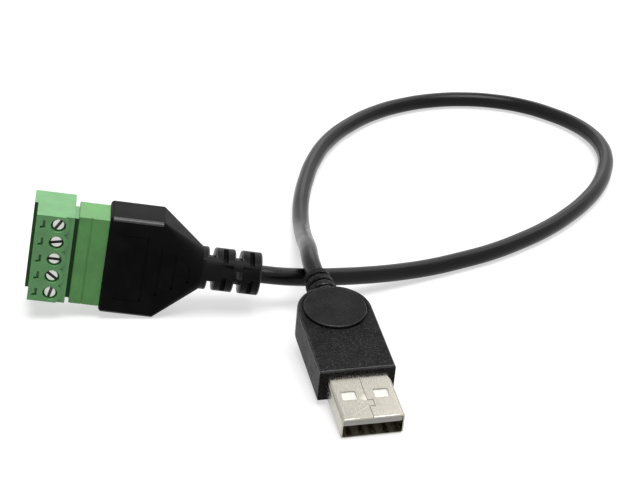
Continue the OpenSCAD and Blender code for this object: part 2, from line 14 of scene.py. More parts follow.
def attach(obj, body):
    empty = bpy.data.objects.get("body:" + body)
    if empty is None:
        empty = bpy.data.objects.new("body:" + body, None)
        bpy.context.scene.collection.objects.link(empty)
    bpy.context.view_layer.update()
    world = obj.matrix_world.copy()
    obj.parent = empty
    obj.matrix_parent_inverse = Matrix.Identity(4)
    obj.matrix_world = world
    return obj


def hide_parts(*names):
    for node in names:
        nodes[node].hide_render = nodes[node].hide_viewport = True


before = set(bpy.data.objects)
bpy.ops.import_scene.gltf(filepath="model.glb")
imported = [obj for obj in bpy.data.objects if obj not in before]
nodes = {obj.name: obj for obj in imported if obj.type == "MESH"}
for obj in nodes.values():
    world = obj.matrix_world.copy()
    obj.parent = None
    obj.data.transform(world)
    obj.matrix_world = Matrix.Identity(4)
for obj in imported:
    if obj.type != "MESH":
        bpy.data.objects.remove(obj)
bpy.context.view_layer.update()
MM = 0.001

# %% [markdown]
# ## Camera
# A lead on a table is looked at from the front and above. A long lens from 0.4 m away keeps both
# ends in scale with each other.

# %% Camera
CAMERA_AT = Vector((-0.01085, -0.32158, 0.18876))
LOOK = Vector((0.09015, 0.8892, -0.44856)).normalized()
RIGHT = Vector((0.99592, -0.08265, 0.03631))
SENSOR_MM, LENS_MM, NEAR_M = 36, 106.9, 0.01


def add_camera():
    right = (RIGHT - LOOK * RIGHT.dot(LOOK)).normalized()
    up = right.cross(LOOK)
    turn = Matrix((right, up, -LOOK)).transposed().to_4x4()
    data = bpy.data.cameras.new("camera")
    data.sensor_width = SENSOR_MM
    data.lens = LENS_MM
    data.clip_start = NEAR_M
    camera = bpy.data.objects.new("camera", data)
    camera.matrix_world = Matrix.Translation(CAMERA_AT) @ turn
    bpy.context.scene.collection.objects.link(camera)
    bpy.context.scene.camera = camera
    return camera


camera = add_camera()
print("camera at", tuple(round(v, 3) for v in camera.location))

# %% [markdown]
# ## The two ends and how they lie
# The terminal end dips towards its cable, and the USB plug's tail is raised where its cable climbs
# over the loop. A matrix for each end carries a piece from its own axes to its place.

# %% Places of the two ends
TIP, TAIL_UP, USB_TURN = math.radians(8), math.radians(9.5), math.radians(9)
HOUSING_HALF_T, HOUSING_HALF_H, HOUSING_EDGE = 4.4, 10.75, 0.8
BOX_LEN, TAPER_LEN = 10.6, 9.0
SHELL_OUT, SHELL_IN, SHELL_W, SHELL_H, LIP = 12.3, 6.5, 12.0, 4.5, 0.35
GRIP_W, GRIP_T, GRIP_LEN = 14.8, 7.2, 25.9
SHELL_Z = (GRIP_T - SHELL_H) / 2

straight_side = HOUSING_HALF_H - HOUSING_EDGE
terminal_lift = BOX_LEN * math.sin(TIP) + straight_side * math.cos(TIP) + HOUSING_EDGE
usb_lift = (SHELL_OUT - LIP) * math.sin(TAIL_UP) - SHELL_Z * math.cos(TAIL_UP)
TERMINAL_END = (
    Matrix.Translation(Vector((-19.6, 22, terminal_lift)) * MM)
    @ Matrix.Rotation(TIP, 4, "Y")
)
USB_END = (
    Matrix.Translation(Vector((28.1, -15.2, usb_lift)) * MM)
    @ Matrix.Rotation(USB_TURN, 4, "Z")
    @ Matrix.Rotation(TAIL_UP, 4, "X")
)
print("terminal end stands at", [round(v, 4) for v in TERMINAL_END.translation])

# %% [markdown]
# ## Cable
# The cable is a plain round PVC cord, 3.7 mm across, in one loop. It leaves the terminal end, runs
# round on the table and climbs in a long low hump over its own start into the USB plug. A Bezier
# curve through points along its middle, with a round bevel, gives that without a kink. The points
# are lifted by a hair, so that the curve does not sag into the table between them. At each end the
# cable runs straight through the last of the moulding and on to where its jacket is stripped.

# %% Cable
CABLE_D = 3.7
ROUTE = [
    (16, 22.3, 7), (19.5, 23, 6.4), (23, 24, 5.8), (28, 25.7, 5), (33, 27.8, 4.1), (38, 30, 3.3),
    (43.5, 32.5, 2.6), (49.5, 35.3, 2.1), (56.5, 38.8, 1.9), (63.5, 42.6, 1.85), (71, 47.9, 1.85),
    (78, 53.9, 1.85), (84, 60.4, 1.85), (90, 68.4, 1.85), (94.9, 76.9, 1.85), (98.1, 85.1, 1.85),
    (100, 92.6, 1.85), (100.4, 99.8, 1.85), (99.3, 106.6, 1.85), (96.4, 113.4, 1.85),
    (91.8, 119.4, 1.85), (85.8, 124.7, 1.85), (78.3, 128.2, 1.85), (70.7, 129.4, 1.85),
    (62.7, 128.6, 1.85), (54.5, 125.6, 1.85), (47, 120.7, 1.85), (39.3, 112.5, 1.85),
    (33, 102.4, 1.85), (28.7, 91.2, 1.85), (26, 80.3, 1.85),
    (24.1, 69.3, 1.85), (23.3, 61, 1.9), (23, 53.4, 2.6), (22.8, 46.5, 4.2), (22.6, 40, 6.2),
    (22.5, 34, 8.1), (22.4, 28.8, 9.5), (22.3, 25, 10.1), (22.4, 21.5, 10.2),
]
TERMINAL_EXIT, USB_EXIT = 31.7, 33.05
JACKET_START, USB_JACKET_START = 13.6, 13.3
AXIS_Z = GRIP_T / 2
ROUTE_LIFT, STRAIGHT_IN, STRAIGHT_OUT = 0.03, 4, 1.2


def at_end(place, *points):
    """Points in an end's own axes, in millimetres, carried to their place in metres."""
    return [place @ (Vector(p) * MM) for p in points]


def add_cable():
    first = (JACKET_START, TERMINAL_EXIT - STRAIGHT_IN, TERMINAL_EXIT + STRAIGHT_OUT)
    last = (USB_EXIT + STRAIGHT_OUT, USB_EXIT - STRAIGHT_IN, USB_JACKET_START)
    path = (
        at_end(TERMINAL_END, *[(x, 0, 0) for x in first])
        + [Vector((x, y, z + ROUTE_LIFT)) * MM for x, y, z in ROUTE]
        + at_end(USB_END, *[(0, y, AXIS_Z) for y in last])
    )
    data = bpy.data.curves.new("cable_jacket", "CURVE")
    data.dimensions = "3D"
    data.bevel_depth = CABLE_D / 2 * MM
    data.bevel_resolution = 10
    data.resolution_u = 8
    data.use_fill_caps = True
    spline = data.splines.new("BEZIER")
    spline.bezier_points.add(len(path) - 1)
    for knot, place in zip(spline.bezier_points, path):
        knot.co = place
        knot.handle_left_type = knot.handle_right_type = "AUTO"
    cable = bpy.data.objects.new("cable_jacket", data)
    bpy.context.scene.collection.objects.link(cable)
    return cable, sum((b - a).length for a, b in zip(path, path[1:]))


cable, cable_length = add_cable()
print("cable", round(cable_length, 4), "m")

# %% [markdown]
# ## Shader maths
# A material is a sum of masks and noises. A small class wraps a socket, so that such a sum is
# written as plain Python and each operator adds its node.

# %% Socket class and material helper
class Sock:
    def __init__(self, tree, link):
        self.tree, self.link = tree, link

    def node(self, kind, settings=None, out=0, **sockets):
        """Add a node: settings first, then values or links into its named sockets."""
        node = self.tree.nodes.new(kind)
        for key, value in (settings or {}).items():
            setattr(node, key, value)
        for key, value in sockets.items():
            socket = node.inputs[int(key[1:]) if key[1:].isdigit() else key.replace("_", " ")]
            if isinstance(value, Sock):
                self.tree.links.new(value.link, socket)
            else:
                socket.default_value = value
        return Sock(self.tree, node.outputs[out])

    def math(self, operation, other):
        return self.node("ShaderNodeMath", {"operation": operation}, i0=self, i1=other)

    def __add__(self, other):
        return self.math("ADD", other)

    def __mul__(self, other):
        return self.math("MULTIPLY", other)

    def ramp(self, low, high, low_value=0.0, high_value=1.0):
        """Smooth step between two values of this socket."""
        return self.node(
            "ShaderNodeMapRange", {"interpolation_type": "SMOOTHSTEP"}, Value=self,
            From_Min=low, From_Max=high, To_Min=low_value, To_Max=high_value,
        )

    def blend(self, colour_a, colour_b):
        """Colour a where this is 0, colour b where it is 1."""
        kind = {"data_type": "RGBA"}
        return self.node("ShaderNodeMix", kind, out=2, i0=self, i6=colour_a, i7=colour_b)


def rgb(r, g, b):
    return (r, g, b, 1.0)


def shade(base, factor, lift=0.0):
    """The same colour, darker or paler."""
    return rgb(*(min(1.0, v * factor + lift) for v in base))


def noise(place, per_mm, detail=3.0, roughness=0.5, stretch=None):
    """Noise with so many features a millimetre, stretched along the axes if told."""
    if stretch:
        place = place.node("ShaderNodeMapping", i0=place, Scale=stretch)
    return place.node(
        "ShaderNodeTexNoise", Vector=place, Scale=per_mm / MM, Detail=detail, Roughness=roughness,
    )


def new_material(name, **flat):
    """A material with its Principled shader, and the piece's own coordinates to paint by."""
    material = bpy.data.materials.new(name)
    material.use_nodes = True
    tree = material.node_tree
    shader = tree.nodes["Principled BSDF"]
    for key, value in flat.items():
        shader.inputs[key.replace("_", " ")].default_value = value
    place = Sock(tree, tree.nodes.new("ShaderNodeTexCoord").outputs["Object"])
    return material, shader, place


def feed(shader, name, value):
    value.tree.links.new(value.link, shader.inputs[name])


def add_bump(shader, height, depth_mm):
    bump = height.node("ShaderNodeBump", Height=height, Distance=depth_mm * MM, Strength=1.0)
    feed(shader, "Normal", bump)


def seen_directly(tree):
    """1 for what the camera sees itself, in a mirror or through glass, 0 for light on the lead."""
    rays = tree.nodes.new("ShaderNodeLightPath")
    seen = Sock(tree, rays.outputs["Is Camera Ray"])
    for kind in ("Is Glossy Ray", "Is Transmission Ray"):
        seen = seen.math("MAXIMUM", Sock(tree, rays.outputs[kind]))
    return seen


print("shader helpers ready")

# %% [markdown]
# ## Black PVC
# Both overmoulds are soft black PVC from a spark-eroded tool. The tool's texture is a fine grain of
# about a third of a millimetre on the USB plug and finer on the housing and its strain relief. Pale
# specks are painted on the peaks of the grain as glints, most of all on the grip. Handling polishes
# the surface unevenly, so the roughness drifts over a few millimetres. Rounded edges polish up in
# the hand, so they get a smoother PVC of their own, with a greyer colour painted on as highlight.
# The strain relief gets a slightly paler and glossier copy of the housing's PVC as painted highlight.

# %% Black PVC
PVC_IOR = 1.5


def make_pvc(name, grain_per_mm, grain_depth, base, sheen, rough, sparkle, rare):
    """Pale specks, painted glints, where the grain is higher than rare; sparkle says how pale."""
    material, shader, place = new_material(name, IOR=PVC_IOR, Specular_IOR_Level=sheen)
    grain = noise(place, grain_per_mm, 2.0, 0.6)
    drift = noise(place, 0.25, 2.0)
    # The pale specks on the grain's peaks are painted glints.
    glint_speck = grain.ramp(rare, rare + 0.08)
    dark, light = rgb(base, base, base * 1.05), rgb(base * 24, base * 24, base * 25)
    tone = (glint_speck * sparkle + drift.ramp(0.3, 0.7) * 0.1).blend(dark, light)
    feed(shader, "Base Color", tone)
    feed(shader, "Roughness", drift.ramp(0.3, 0.7, rough - 0.05, rough + 0.06))
    add_bump(shader, grain, grain_depth)
    return material


pvc_grip = make_pvc(
    "pvc_usb_overmould", grain_per_mm=3.2, grain_depth=0.25, base=0.0035, sheen=0.05, rough=0.34,
    sparkle=0.55, rare=0.57,
)
pvc_pad = make_pvc(
    "pvc_pad", grain_per_mm=3.4, grain_depth=0.05, base=0.0035, sheen=0.06, rough=0.34,
    sparkle=0.12, rare=0.56,
)
pvc_housing = make_pvc(
    "pvc_housing", grain_per_mm=5.0, grain_depth=0.02, base=0.0016, sheen=0.04, rough=0.40,
    sparkle=0.03, rare=0.56,
)
# A slightly paler and glossier copy of the housing's PVC, as painted highlight on the relief.
pvc_relief_painted_highlight = make_pvc(
    "pvc_strain_relief_painted_highlight", grain_per_mm=5.0, grain_depth=0.02, base=0.0020, sheen=0.07, rough=0.34,
    sparkle=0.03, rare=0.56,
)
# Smoother PVC for rounded edges, its paler colour a painted highlight.
pvc_edge_painted_highlight = make_pvc(
    "pvc_polished_edge_painted_highlight", grain_per_mm=2.0, grain_depth=0.02, base=0.01, sheen=0.35, rough=0.26,
    sparkle=0.05, rare=0.56,
)
print("black PVC in four grains and a polished edge")

# %% [markdown]
# ## Cable jacket
# Extruded PVC has no grain; it has a satin skin with faint ripples round it from the die and slow
# changes of gloss along it.

# %% Cable jacket
def make_jacket():
    material, shader, place = new_material("pvc_cable_jacket", IOR=PVC_IOR, Specular_IOR_Level=0.18)
    skin = noise(place, 1.6, 3.0)
    drift = noise(place, 0.12, 2.0)
    fresh, worn = rgb(0.002, 0.002, 0.0022), rgb(0.0035, 0.0035, 0.0038)
    feed(shader, "Base Color", drift.ramp(0.3, 0.7).blend(fresh, worn))
    feed(shader, "Roughness", drift.ramp(0.3, 0.7, 0.24, 0.30))
    add_bump(shader, skin, 0.015)
    return material


jacket = make_jacket()
print("cable jacket ready")

# %% [markdown]
# ## Green polyamide
# Terminal blocks are moulded in glass-filled green polyamide. The skin is smooth but not quite
# glossy, with a faint cloudiness where the melt flowed. The faces in the narrow gap between plug
# and header, and the front of the ledge, get a deeper green as painted shade.

# %% Green polyamide
POLYAMIDE_IOR = 1.53


def make_green(name, base, sheen=0.5):
    material, shader, place = new_material(name, IOR=POLYAMIDE_IOR, Specular_IOR_Level=sheen)
    cloud = noise(place, 0.35, 3.0)
    fleck = noise(place, 7.0, 2.0)
    mix = cloud.ramp(0.3, 0.7) * 0.6 + fleck.ramp(0.5, 0.8) * 0.3
    feed(shader, "Base Color", mix.blend(shade(base, 0.86), shade(base, 1.18, 0.012)))
    feed(shader, "Roughness", cloud.ramp(0.25, 0.75, 0.36, 0.46) + fleck.ramp(0.55, 0.8) * 0.06)
    add_bump(shader, fleck, 0.006)
    return material


green_plug = make_green("green_polyamide_plug", (0.13, 0.37, 0.13))
green_header = make_green("green_polyamide_header", (0.095, 0.33, 0.075))
# A deeper green, painted as shade in the gap and on the ledge's front.
green_painted_shade = make_green("green_polyamide_painted_shade", (0.022, 0.085, 0.022), 0.1)
print("two batches of green and a deep one")

# %% [markdown]
# ## Metals
# The USB shell is nickel-plated rolled sheet: bright, a little warm, with hair-fine lines along
# the rolling direction and small rub marks. Screws and cages are zinc-plated steel. Inside the
# screws' slots the zinc is painted dark as shade. The pins are tinned and the USB contacts are
# gold over nickel.

# %% Metals
def make_metal(name, base, rough, line_stretch, line_depth):
    material, shader, place = new_material(name)
    lines = noise(place, 6.0, 3.0, 0.6, stretch=line_stretch)
    rub = noise(place, 0.9, 3.0)
    feed(shader, "Base Color", (rub.ramp(0.35, 0.7) * 0.5).blend(rgb(*base), shade(base, 0.86)))
    brushed = lines.ramp(0.3, 0.7, rough - 0.05, rough + 0.05)
    feed(shader, "Roughness", brushed + rub.ramp(0.5, 0.8) * 0.08)
    shader.inputs["Metallic"].default_value = 1.0
    add_bump(shader, lines, line_depth)
    return material


nickel = make_metal("nickel_sheet", (0.45, 0.428, 0.374), 0.22, (1.0, 0.06, 1.0), 0.004)
zinc = make_metal("zinc_plated_steel", (0.60, 0.60, 0.57), 0.28, (1.0, 1.0, 0.1), 0.006)
# Zinc painted dark as the shade inside the screws' slots.
zinc_painted_shade = make_metal("zinc_painted_shade_in_the_slot", (0.10, 0.10, 0.09), 0.55, (1.0, 1.0, 0.3), 0.01)
tin = make_metal("tinned_brass", (0.78, 0.76, 0.72), 0.30, (0.1, 1.0, 1.0), 0.004)
gold = make_metal("gold_plating", (0.86, 0.64, 0.28), 0.22, (1.0, 0.1, 1.0), 0.003)
print("five metals")

# %% [markdown]
# ## White insulator, moulding compound and wire insulation
# The tongue of the plug is white thermoplastic. The fill inside each end and the conductors are
# only seen if an end is opened, and get plain but real surfaces: slightly mottled, slightly dull.

# %% Other plastics
def make_plastic(name, base, rough, mottle=0.12):
    material, shader, place = new_material(name, IOR=PVC_IOR)
    cloud = noise(place, 0.8, 3.0)
    fine = noise(place, 6.0, 2.0)
    feed(shader, "Base Color", cloud.ramp(0.3, 0.7).blend(rgb(*base), shade(base, 1 - mottle)))
    feed(shader, "Roughness", fine.ramp(0.3, 0.7, rough - 0.04, rough + 0.05))
    add_bump(shader, fine, 0.005)
    return material


ivory = make_plastic("white_insulator", (0.80, 0.79, 0.73), 0.35, 0.05)
compound = make_plastic("moulding_compound", (0.72, 0.70, 0.62), 0.5)
WIRE_COLOURS = {
    "red": (0.55, 0.03, 0.02), "white": (0.80, 0.80, 0.78),
    "green": (0.03, 0.30, 0.08), "black": (0.02, 0.02, 0.02),
}
wire_paint = {name: make_plastic("wire_" + name, base, 0.4) for name, base in WIRE_COLOURS.items()}
print(len(wire_paint), "wire colours")

# %% [markdown]
# ## Modelling helpers
# Pieces are made with the same operators as by hand. A block or a cylinder is added at its size,
# and then its faces and edges are chosen by where they lie or which way they look, before they
# are inset, pushed, bevelled or cut. Booleans cut pockets and holes where two tools would meet.

# %% Modelling helpers
def deselect():
    if bpy.context.object and bpy.context.object.mode != "OBJECT":
        bpy.ops.object.mode_set(mode="OBJECT")
    bpy.ops.object.select_all(action="DESELECT")


def only(piece):
    deselect()
    piece.select_set(True)
    bpy.context.view_layer.objects.active = piece


def freeze(piece):
    only(piece)
    bpy.ops.object.transform_apply(location=True, rotation=True, scale=True)
    return piece


def add_block(name, low, high):
    """A block between two corners, in millimetres."""
    deselect()
    middle = [(a + b) / 2 * MM for a, b in zip(low, high)]
    size = [(b - a) * MM for a, b in zip(low, high)]
    bpy.ops.mesh.primitive_cube_add(size=1, location=middle, scale=size)
    piece = bpy.context.object
    piece.name = piece.data.name = name
    return freeze(piece)


def add_rod(name, centre, radius, length, axis="Z", sides=64):
    """A round rod from a centre along an axis, in millimetres."""
    deselect()
    turn = {"X": (0, math.pi / 2, 0), "Y": (-math.pi / 2, 0, 0), "Z": (0, 0, 0)}[axis]
    shift = [length / 2 if letter == axis else 0 for letter in "XYZ"]
    bpy.ops.mesh.primitive_cone_add(
        vertices=sides, radius1=radius * MM, radius2=radius * MM, depth=length * MM,
        location=[(c + s) * MM for c, s in zip(centre, shift)], rotation=turn,
    )
    piece = bpy.context.object
    piece.name = piece.data.name = name
    return freeze(piece)


def pick(piece, kind, test):
    """Select the edges or vertices whose ends, in millimetres, pass the test, and count them."""
    only(piece)
    mesh = piece.data
    for group in (mesh.polygons, mesh.edges, mesh.vertices):
        for item in group:
            item.select = False
    count = 0
    if kind == "EDGE":
        for edge in mesh.edges:
            edge.select = bool(test(*(mesh.vertices[i].co / MM for i in edge.vertices)))
            count += edge.select
    else:
        for vert in mesh.vertices:
            vert.select = bool(test(vert.co / MM))
            count += vert.select
    bpy.ops.object.mode_set(mode="EDIT")
    bpy.ops.mesh.select_mode(type=kind)
    return count


def done():
    bpy.ops.object.mode_set(mode="OBJECT")


def bevel_edges(piece, test, width, segments=3):
    if pick(piece, "EDGE", test):
        bpy.ops.mesh.bevel(offset=width * MM, segments=segments, profile=0.5, affect="EDGES")
    done()


def along(axis):
    """A test for edges that run along an axis."""
    return lambda a, b: abs(getattr(a, axis) - getattr(b, axis)) > 1


def across(axis):
    """A test for edges that lie square to an axis."""
    return lambda a, b: abs(getattr(a, axis) - getattr(b, axis)) < 0.01


def apply_modifier(piece, kind, name, **settings):
    only(piece)
    modifier = piece.modifiers.new(name, kind)
    for key, value in settings.items():
        setattr(modifier, key, value)
    bpy.ops.object.modifier_apply(modifier=name)


def cut(piece, *tools, operation="DIFFERENCE"):
    """Cut the tools from the piece, or join them to it, and throw them away."""
    for tool in tools:
        apply_modifier(piece, "BOOLEAN", "cut", object=tool, operation=operation, solver="EXACT")
        bpy.data.objects.remove(tool)
    return piece


def mark_faces(piece, marked, index=1):
    """Give the faces whose centre and normal fit the test another of the piece's materials."""
    for face in piece.data.polygons:
        if marked(face.center / MM, face.normal):
            face.material_index = index


def soften(piece, width, sharper_than=35, edge=-1):
    apply_modifier(
        piece, "BEVEL", "soft edges", width=width * MM, segments=2, limit_method="ANGLE",
        angle_limit=math.radians(sharper_than), use_clamp_overlap=True, material=edge,
    )


def finish_piece(piece, place, *materials, bevel=0.0, edge=-1):
    """Give the piece its materials, soften its edges and carry it to its place."""
    for material in materials:
        piece.data.materials.append(material)
    if bevel:
        soften(piece, bevel, edge=edge)
    piece.data.transform(place)
    only(piece)
    bpy.ops.object.shade_smooth_by_angle(angle=math.radians(40))
    apply_modifier(
        piece, "WEIGHTED_NORMAL", "flat faces stay flat", mode="FACE_AREA", weight=100,
        keep_sharp=True,
    )
    return piece


def sides_of(inner, outer):
    """The same stretch on both sides of the middle, as its low and its high end."""
    return (-outer, -inner), (inner, outer)


print("modelling helpers ready")

# %% [markdown]
# ## Housing
# The housing is one soft moulding over the header's back and the cable's start: a rounded box
# that tapers to a round neck. Its hull is the skin stretched over a softened block and a disc, so
# that is how it is made here.

# %% Housing form
NECK_X = BOX_LEN + TAPER_LEN
RELIEF_R = 4.4
ROUND_SIDES = 96
REACH, FAR = 9, 20
HEADER_REAR, HEADER_HALF_T, HEADER_HALF_LEN = 3.2, 3.6, 9.745


def stretch_skin(*parts):
    """Join the parts and stretch a convex skin over them."""
    only(parts[0])
    for part in parts[1:]:
        part.select_set(True)
    bpy.ops.object.join()
    form = bpy.context.object
    bpy.ops.object.mode_set(mode="EDIT")
    bpy.ops.mesh.select_all(action="SELECT")
    bpy.ops.mesh.convex_hull(join_triangles=True)
    bpy.ops.mesh.select_all(action="SELECT")
    bpy.ops.mesh.dissolve_limited(angle_limit=math.radians(0.5))
    bpy.ops.mesh.normals_make_consistent(inside=False)
    done()
    return form


def add_housing_form():
    t, h = HOUSING_HALF_T, HOUSING_HALF_H
    box = add_block("housing", (0, -t, -h), (BOX_LEN + HOUSING_EDGE, t, h))
    bevel_edges(box, lambda a, b: True, HOUSING_EDGE, segments=6)
    disc = add_rod("neck disc", (NECK_X - 0.5, 0, 0), RELIEF_R, 0.5, "X", ROUND_SIDES)
    return stretch_skin(box, disc)


housing = add_housing_form()
print("housing form", len(housing.data.polygons), "faces")

# %% [markdown]
# ### Strain relief
# Behind the neck the cable's end is held by a collar and two segments with notches between them,
# so that the tail bends a little at each. Each is a short rod with rounded rims on a common core.
# Two webs tie them together, and each segment has a slot in its flanks. The soft tail has come
# out of the mould a little twisted, so webs and slots stand round by 25 degrees.

# %% Strain relief
COLLAR, NOTCH, SEGMENT, SLOT = 1.3, 1.2, 4.2, 1.0
SLOT_WEB, NOTCH_WEB, CORE_R, CHEEK = 1.5, 2.4, 2.7, 1.32
RIM = 0.3
SEGMENT_STARTS = [NECK_X + COLLAR + NOTCH + i * (NOTCH + SEGMENT) for i in range(2)]
WEB_TURN = Matrix.Rotation(math.radians(-25), 4, "X")


def add_bead(x0, x1, rims):
    """A short rod from x0 to x1 with its rims rounded at the given ends."""
    bead = add_rod("bead", (x0, 0, 0), RELIEF_R, x1 - x0, "X", ROUND_SIDES)
    round_it = across("x")
    bevel_edges(
        bead, lambda a, b: round_it(a, b) and any(abs(a.x - x) < 0.01 for x in rims), RIM, segments=4,
    )
    return bead


def add_web(x0, x1, half):
    """A bar across a notch, as wide as the segments and as thick as the web."""
    web = add_rod("web", (x0, 0, 0), RELIEF_R, x1 - x0, "X", ROUND_SIDES)
    for low, high in sides_of(half, FAR):
        flank = add_block("flank", (x0 - 1, -FAR, low), (x1 + 1, FAR, high))
        flank.data.transform(WEB_TURN)
        cut(web, flank)
    return web


def add_slot(x, length):
    """Flanks that one slot takes away, between the core and the outside."""
    slot = add_rod("slot", (x, 0, 0), REACH, length, "X", ROUND_SIDES)
    cut(slot, add_rod("core", (x - 1, 0, 0), CORE_R, length + 2, "X", ROUND_SIDES))
    cut(slot, add_block("web", (x - 2, -FAR, -SLOT_WEB), (x + length + 2, FAR, SLOT_WEB)))
    cut(slot, add_block("cheek", (x - 2, -CHEEK, -FAR), (x + length + 2, CHEEK, FAR)))
    slot.data.transform(WEB_TURN)
    return slot


def add_relief():
    start, end = NECK_X - 0.6, NECK_X + COLLAR
    core_len = TERMINAL_EXIT - start - 0.1
    relief = add_rod("relief", (start, 0, 0), CORE_R, core_len, "X", ROUND_SIDES)
    cut(relief, add_bead(start, end, [end]), operation="UNION")
    for x in SEGMENT_STARTS:
        segment = add_bead(x, x + SEGMENT, [x, x + SEGMENT])
        cut(relief, segment, add_web(x - NOTCH - 0.4, x + 0.4, NOTCH_WEB), operation="UNION")
    for x in SEGMENT_STARTS:
        cut(relief, add_slot(x + (SEGMENT - SLOT) / 2, SLOT))
    return relief


cut(housing, add_relief(), operation="UNION")
print("housing with relief", len(housing.data.polygons), "faces")

# %% [markdown]
# ### Mouth, panel and grip grooves
# The header goes into the mouth, and the cable and the fill take the inside. The large faces have
# a faint panel outline and four grip grooves that shorten towards the neck.

# %% Mouth, panel and grooves
GROOVE_START, GROOVE_STEP, GROOVE_W, GROOVE_DEPTH = BOX_LEN - 2.9, 3, 0.5, 0.3
PANEL_X, PANEL_Z, PANEL_W, PANEL_DEPTH = (2.6, 7.3), (-7.3, 7.1), 0.2, 0.08
FILL_END, FILL_HALF_T, FILL_HALF_H, HOLE_X = 7.7, 2.6, 8.5, 7.6


def cut_housing(form):
    t, n = HEADER_HALF_T, HEADER_HALF_LEN
    fill_low = (HEADER_REAR - 0.1, -FILL_HALF_T, -FILL_HALF_H)
    cut(form, add_block("mouth", (-1, -t, -n), (HEADER_REAR, t, n)))
    cut(form, add_block("fill room", fill_low, (FILL_END, FILL_HALF_T, FILL_HALF_H)))
    cut(form, add_rod("cable hole", (HOLE_X, 0, 0), CABLE_D / 2, 40, "X", sides=48))
    grooves = sides_of(HOUSING_HALF_T - GROOVE_DEPTH, REACH)
    lines = sides_of(HOUSING_HALF_T - PANEL_DEPTH, REACH)
    for (low, high), (line_low, line_high) in zip(grooves, lines):
        for i in range(4):
            x = GROOVE_START + GROOVE_STEP * i
            half = min(HOUSING_HALF_H - 3.5, (NECK_X - x) * 0.62)
            cut(form, add_block("groove", (x, low, -half), (x + GROOVE_W, high, half)))
        for z in PANEL_Z:
            corner = (PANEL_X[1], line_high, z + PANEL_W)
            cut(form, add_block("panel line", (PANEL_X[0], line_low, z), corner))
    return form


def slanted(part):
    """True for a rounded edge's face: it looks neither along an axis nor square to it."""
    return 0.12 < abs(part) < 0.97


def on_relief(place, normal):
    return place.x > NECK_X - 0.4


def polished_and_painted_highlight(place, normal):
    """The long front edges of the box and the rims of the relief's segments, with a painted highlight.
    """
    if place.x < BOX_LEN:
        return slanted(normal.y) and abs(normal.x) < 0.3
    outside = math.hypot(place.y, place.z) > RELIEF_R - 0.35
    return place.x > NECK_X and slanted(normal.x) and outside


cut_housing(housing)
# The relief takes the paler copy of the PVC as painted highlight.
mark_faces(housing, on_relief, index=2)
# The long front edges and the relief's rims take the paler edge PVC as painted highlight.
mark_faces(housing, polished_and_painted_highlight)
finish_piece(housing, TERMINAL_END, pvc_housing, pvc_edge_painted_highlight, pvc_relief_painted_highlight, bevel=0.04)
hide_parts("adapter_housing")
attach(housing, "lead")
print("housing", len(housing.data.polygons), "faces")

# %% [markdown]
# ## Header
# The header is the fixed half of the plug-in terminal: a thin-walled green box, open towards the
# plug, with five square pins in its back wall. A shallow line runs across each large face.

# %% Header
HEADER_OUT, HEADER_WALL, HEADER_SEAT = 6.1, 0.7, 1.4
PITCH, WAYS, PIN = 3.81, 5, 0.9
LINE_X, LINE_DEPTH = (-3.66, -3.36), 0.2


def way_z(way):
    return (way - (WAYS + 1) / 2) * PITCH


def add_header():
    t, n = HEADER_HALF_T, HEADER_HALF_LEN
    inner_t, inner_n = t - HEADER_WALL, n - HEADER_WALL
    header = add_block("header", (-HEADER_OUT, -t, -n), (HEADER_REAR, t, n))
    runs_in = along("x")
    bevel_edges(header, lambda a, b: runs_in(a, b) or (a.x < 0 and b.x < 0), 0.12, segments=2)
    cut(header, add_block("mouth", (-REACH, -inner_t, -inner_n), (HEADER_SEAT, inner_t, inner_n)))
    for way in range(1, WAYS + 1):
        z = way_z(way)
        cut(header, add_block("pin hole", (0, -PIN / 2, z - PIN / 2), (REACH, PIN / 2, z + PIN / 2)))
    for low, high in sides_of(t - LINE_DEPTH, REACH):
        cut(header, add_block("line", (LINE_X[0], low, -FAR), (LINE_X[1], high, FAR)))
    return header


header = finish_piece(add_header(), TERMINAL_END, green_header, bevel=0.06)
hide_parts("header_shell")
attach(header, "lead")
print("header", len(header.data.polygons), "faces")

# %% [markdown]
# ## Terminal plug
# The plug is a green block with a ledge on its outer edge, under which the wires go in, and a nose
# that slides into the header. Each way needs the same pocket: a hole for the screw, a room for its
# cage, a wire entry, and room for the contact. Beside the hole an L-shaped slit lets a test probe
# in. The pocket is modelled once as a solid, copied five times along the row, and cut out. Beside
# the screws the face steps down and leaves round lands.

# %% Terminal plug
SCREW_X, FACE_Y, HEAD_TOP, HEAD_UNDER = -10.0, -4.5, -3.9, -2.9
PLUG_LEFT, PLUG_RIGHT, PLUG_BACK, PLUG_HALF, MATE_GAP = -14.4, -6.9, 6.7, 9.605, 0.8
POCKET = (SCREW_X - 1.7, SCREW_X + 1.7)
CAGE_TOP, THROAT, CAGE_FLOOR, CAGE_END = -0.5, 1.1, 3.5, 3.95
STRIP_Y, NOSE_END, NOSE_HALF_T, NOSE_HALF_N = 0.6, 1.0, 2.8, 8.945
SOCKET_X, SOCKET_END, SOCKET_HALF, LEAF_Y, PIN_WAY = -7.0, 0.4, 0.9, -1.15, 0.65
HEAD_HOLE_R, SHANK_HOLE_R, CAGE_ROOM, WIRE_HALF = 1.5, 1.05, 1.55, 1.3
PROBE_X, PROBE_HALF, PROBE_SLIT = SCREW_X - 3.1, 0.9, 0.5
LEDGE, LAND_R, STEP_DEPTH, STEP_X = 0.7, 2.3, 0.4, SCREW_X + 1.38


